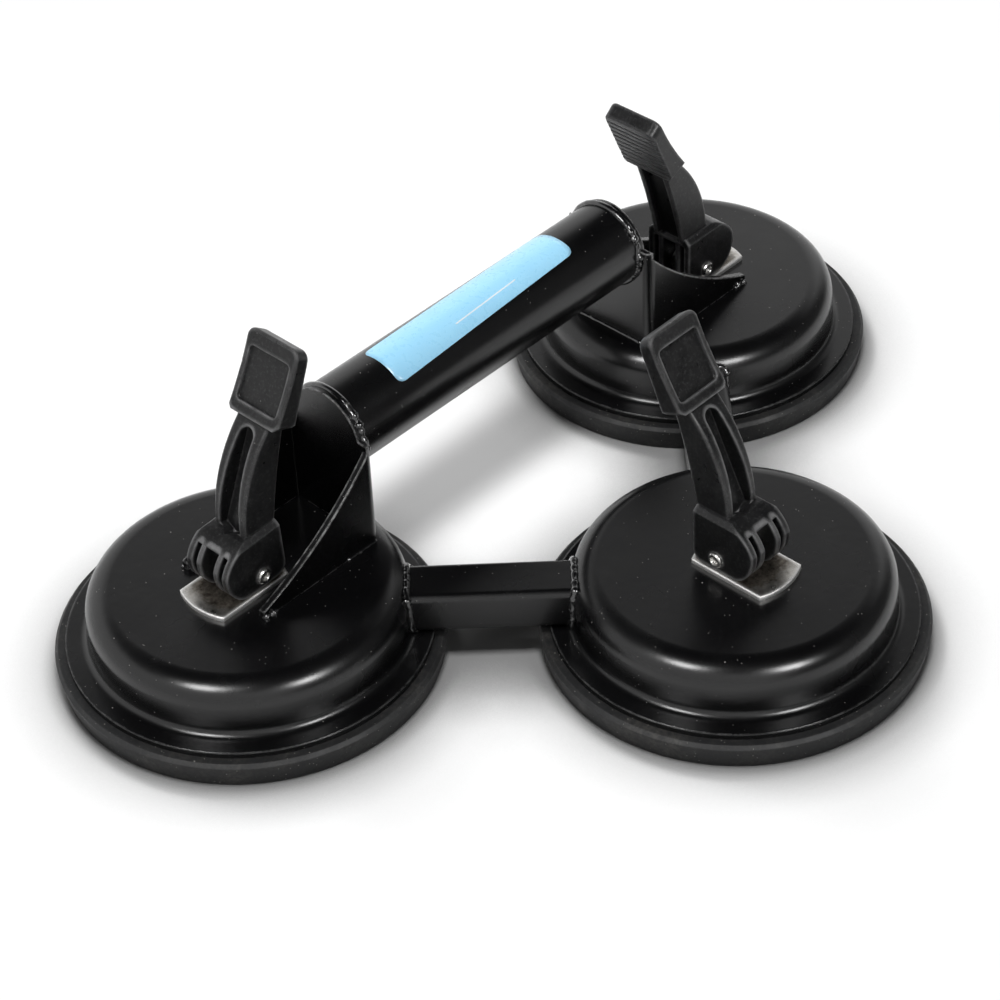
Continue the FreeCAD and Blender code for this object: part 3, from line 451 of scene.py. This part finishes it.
def bar_welds(material, places):
    """Collars where the brace bars meet the shells, lumpy at their corners."""
    standing, step, bead_radius = 0.4 * MM, 0.35 * MM, 1.6 * MM
    upper, lower, fading = 23 * MM, 12 * MM, 2.5 * MM

    def at_corners(point):
        return max(0.25, 1.0 - min(abs(point.z - upper), abs(point.z - lower)) / fading)

    made = []
    for ends in ("ab", "cb"):
        shape = bmesh.new()
        for number, (here, there) in enumerate((ends, ends[::-1])):
            start, end = places[here][0], places[there][0]
            along = (end - start).normalized()
            side = Vector((-along.y, along.x, 0))
            path = []
            for across, height in bar_section():
                reach = math.sqrt(shell_radius(height) ** 2 - across ** 2) + standing
                path.append(start + along * reach + side * across + Vector((0, 0, height)))
            # the outline ends on its first point, which a closed bead has once
            collar = resampled(path, step)[:-1]
            bead(shape, collar, bead_radius, closed=True, seed=44 + 7 * number, rough=0.3,
                 lumpy=at_corners)
        made.append(from_bmesh(shape, "brace_weld_" + ends, material))
        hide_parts("bar_weld_" + ends, "bar_weld_" + ends[::-1])
    return made


def foot_welds(material, places):
    """Runs along the feet of the grip's brackets: flange tips, flange roots and the web."""
    made = []
    for cup in "ac":
        low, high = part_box("grip_bracket_" + cup)
        outward = places[cup][1].x
        web, tip = (low.x, high.x) if outward > 0 else (high.x, low.x)
        level = low.z + 0.2 * MM

        def run(start, end):
            return resampled([Vector((*start, level)), Vector((*end, level))], 0.4 * MM)

        shape = bmesh.new()
        for number, y in enumerate((low.y, high.y)):
            flange_tip = run((tip - outward * 5.5 * MM, y), (tip + outward * 0.2 * MM, y))
            bead(shape, flange_tip, 1.25 * MM, closed=False, seed=51 + number, rough=0.35)
            flange_root = run((web + outward * 1.5 * MM, y), (web + outward * 14 * MM, y))
            bead(shape, flange_root, 0.9 * MM, closed=False, seed=61 + number, rough=0.3,
                 lumpy=lambda point: 0.4)
        web_foot = run((web, low.y + 3 * MM), (web, high.y - 3 * MM))
        bead(shape, web_foot, 1.0 * MM, closed=False, seed=71, rough=0.25,
             lumpy=lambda point: 0.25)
        made.append(from_bmesh(shape, "bracket_weld_" + cup, material))
    return made


def add_welds(material, places):
    welds = grip_welds(material) + bar_welds(material, places) + foot_welds(material, places)
    for item in welds:
        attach(item, "lifter_frame")


# ---------------------------------------------------------------- label

def on_grip(along, around, lift):
    """Point by the hand grip: metres along it, round it from the top to the near side, above it."""
    axis_y, axis_z, radius = grip()[2:]
    angle = around / radius
    return Vector((along, axis_y - (radius + lift) * math.sin(angle),
                   axis_z + (radius + lift) * math.cos(angle)))


def add_sticker(name, material, middle, long, tall, corner, lift):
    """Thin sheet with rounded corners, wrapped on the hand grip and set a little askew."""
    rows, columns, slant, sunk = 34, 40, 0.05, -0.05 * MM
    shape = bmesh.new()
    skins = []
    for height in (lift, sunk):
        grid = []
        for i in range(rows + 1):
            # rows stand closer towards both long edges, where the corners are
            s = tall * (1 - math.cos(math.pi * i / rows)) / 2
            inset = 0.0
            for near in (s, tall - s):
                if near < corner:
                    inset = corner - math.sqrt(max(corner ** 2 - (corner - near) ** 2, 0))
            line = []
            for k in range(columns + 1):
                x, y = (long - 2 * inset) * (k / columns - 0.5), s - tall / 2
                place = on_grip(middle[0] + x, middle[1] + y - x * slant, height)
                line.append(shape.verts.new(place))
            grid.append(line)
        skins.append(grid)
    for grid in skins:
        for i in range(rows):
            for k in range(columns):
                shape.faces.new((grid[i][k], grid[i][k + 1], grid[i + 1][k + 1], grid[i + 1][k]))
    outer, inner = [grid[0] + [row[-1] for row in grid[1:]] + grid[-1][-2::-1]
                    + [row[0] for row in grid[-2:0:-1]] for grid in skins]
    for k in range(len(outer)):
        n = (k + 1) % len(outer)
        shape.faces.new((outer[k], outer[n], inner[n], inner[k]))
    item = from_bmesh(shape, name, material)
    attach(item, "lifter_frame")


def add_label():
    """Plain blue sticker; a thin printed rule is the only mark on it."""
    blue = label_vinyl("label_vinyl_blue", (0.35, 0.71, 0.95), (0.32, 0.67, 0.92))
    white = label_vinyl("label_print_white", (0.86, 0.88, 0.90), (0.80, 0.83, 0.86))
    add_sticker("grip_label", blue, middle=(-1.7 * MM, 1.0 * MM), long=81.5 * MM, tall=17.2 * MM,
                corner=2.6 * MM, lift=0.12 * MM)
    add_sticker("grip_label_rule", white, middle=(1.0 * MM, 5.0 * MM), long=28 * MM,
                tall=0.4 * MM, corner=0.15 * MM, lift=0.15 * MM)


# ---------------------------------------------------------------- dressing the CAD nodes

def dress(name, material):
    item = nodes[name]
    if item.material_slots:
        for entry in item.material_slots:
            entry.material = material
    else:
        item.data.materials.append(material)


def dress_all(places):
    # the bracket's cut sheet gets far paler edges: mostly a painted highlight along its bright cut
    # edges, with some wear
    coat = black_coat("black_powder_coat", 0.06)
    cut_sheet = black_coat("black_coat_cut_sheet", 0.30)
    zinc = turned_steel("zinc_steel", (0.56, 0.56, 0.55), 0.32)
    looks = {"grip_bracket": cut_sheet, "rubber_pad": pad_rubber(), "cam_lever": lever_plastic(),
             "hinge_pin": turned_steel("pin_steel", (0.62, 0.61, 0.59), 0.26),
             "lift_stem": zinc, "backing_disc": zinc}
    for name in nodes:
        kind, cup = name.rsplit("_", 1)
        if kind == "wear_plate":
            dress(name, nickel_plate(places[cup][0]))
        else:
            dress(name, looks.get(kind, coat))
    add_welds(weld_coat(), places)
    add_label()


# ---------------------------------------------------------------- floor, light and background

def make_floor():
    """White paper with a painted shadow darkening it softly under the object; it turns into a plain
    backdrop far off.
    """
    half_size, drop, shade_reach = 8.0, 0.2 * MM, 34 * MM
    backdrop_from, backdrop_to, contact_shade = 0.22, 0.42, (0.27, 0.27, 0.27)
    shape = bmesh.new()
    bmesh.ops.create_grid(shape, x_segments=4, y_segments=4, size=half_size)
    look = Look("floor_white", Roughness=0.9, Specular_IOR_Level=0.1)
    paper = look.mix(look.noise(3.0), (0.95, 0.95, 0.95), (0.97, 0.97, 0.97))
    # painted contact shadow: the paper's colour darkens towards a grey where ambient occlusion
    # finds the object near
    open_air = look.node("ShaderNodeAmbientOcclusion", {"Distance": shade_reach},
                         samples=12).outputs["AO"]
    shaded = look.mix(look.remap(open_air, 0.56, 0.98), contact_shade, paper)
    away = look.node("ShaderNodeVectorMath", {0: look.place["Object"]},
                     operation="LENGTH").outputs["Value"]
    path = look.node("ShaderNodeLightPath").outputs
    mirrored = look.calc("MAXIMUM", path["Is Glossy Ray"], path["Is Transmission Ray"])
    seen = look.calc("MAXIMUM", path["Is Camera Ray"], mirrored)
    far_off = look.remap(away, backdrop_from, backdrop_to, smooth=True)
    backdrop = look.calc("MULTIPLY", far_off, seen)
    look.set("Base Color", look.mix(backdrop, shaded, (0.0, 0.0, 0.0)))
    look.shader.inputs["Emission Color"].default_value = (1.0, 1.0, 1.0, 1.0)
    look.set("Emission Strength", backdrop)
    floor = from_bmesh(shape, "floor", look.material, False)
    floor.location.z = -drop


def make_world():
    """White for the camera; reflections also see a dark ceiling and a dark drape on the right."""
    fill, darkness = 0.12, 0.02
    ceiling_from, wall_to = 0.74, 0.54
    right_x, right_y = 0.643, -0.766
    drape_from, drape_to, drape_level = 0.35, 0.75, 0.12
    world = bpy.data.worlds.new("studio")
    bpy.context.scene.world = world
    world.use_nodes = True
    graph = Graph(world.node_tree)
    direction = graph.node("ShaderNodeTexCoord").outputs["Generated"]
    x, y, height = graph.node("ShaderNodeSeparateXYZ", {0: direction}).outputs
    wall = graph.remap(height, ceiling_from, wall_to, smooth=True)
    rightward = graph.calc("ADD", graph.calc("MULTIPLY", x, right_x),
                           graph.calc("MULTIPLY", y, right_y))
    undraped = graph.remap(rightward, drape_from, drape_to, 1.0, drape_level, smooth=True)
    path = graph.node("ShaderNodeLightPath").outputs
    mirrored = graph.calc("MAXIMUM", path["Is Glossy Ray"], path["Is Transmission Ray"])
    reflected = graph.calc("MULTIPLY", mirrored, graph.calc("MULTIPLY", wall, undraped))
    white = graph.calc("MAXIMUM", path["Is Camera Ray"], reflected)
    level = graph.calc("ADD", graph.calc("MULTIPLY", path["Is Diffuse Ray"], fill), darkness)
    strength = graph.calc("ADD", graph.calc("MULTIPLY", white, 1.0 - darkness), level)
    background = graph.tree.nodes["Background"]
    background.inputs["Color"].default_value = (1, 1, 1, 1)
    graph.tree.links.new(strength, background.inputs["Strength"])


def softbox(name, bearing, rise, away, size, watts, sheen_only=False):
    """Square softbox aimed at the object, at a bearing and elevation in degrees."""
    flat = away * math.cos(math.radians(rise))
    where = Vector((flat * math.cos(math.radians(bearing)), flat * math.sin(math.radians(bearing)),
                    away * math.sin(math.radians(rise))))
    lamp = bpy.data.lights.new(name, "AREA")
    lamp.shape, lamp.size, lamp.energy = "SQUARE", size, watts
    item = bpy.data.objects.new(name, lamp)
    item.location = where
    item.rotation_euler = (-where).to_track_quat("-Z", "Y").to_euler()
    item.visible_diffuse, item.visible_glossy = not sheen_only, sheen_only
    bpy.context.scene.collection.objects.link(item)


def make_lights():
    """Two softboxes beside the camera give the highlights, two silks give the level."""
    softbox("softbox_left", bearing=-176, rise=48, away=1.5, size=0.38, watts=13.5,
            sheen_only=True)
    softbox("softbox_right", bearing=-99, rise=38, away=1.5, size=0.38, watts=13.5,
            sheen_only=True)
    softbox("silk_overhead", bearing=-135, rise=80, away=1.6, size=0.38, watts=17.2)
    softbox("silk_behind", bearing=75, rise=48, away=1.6, size=0.45, watts=11.6)


bpy.context.scene.view_settings.view_transform = "Standard"
make_camera()
make_world()
make_lights()
make_floor()
dress_all(cups())
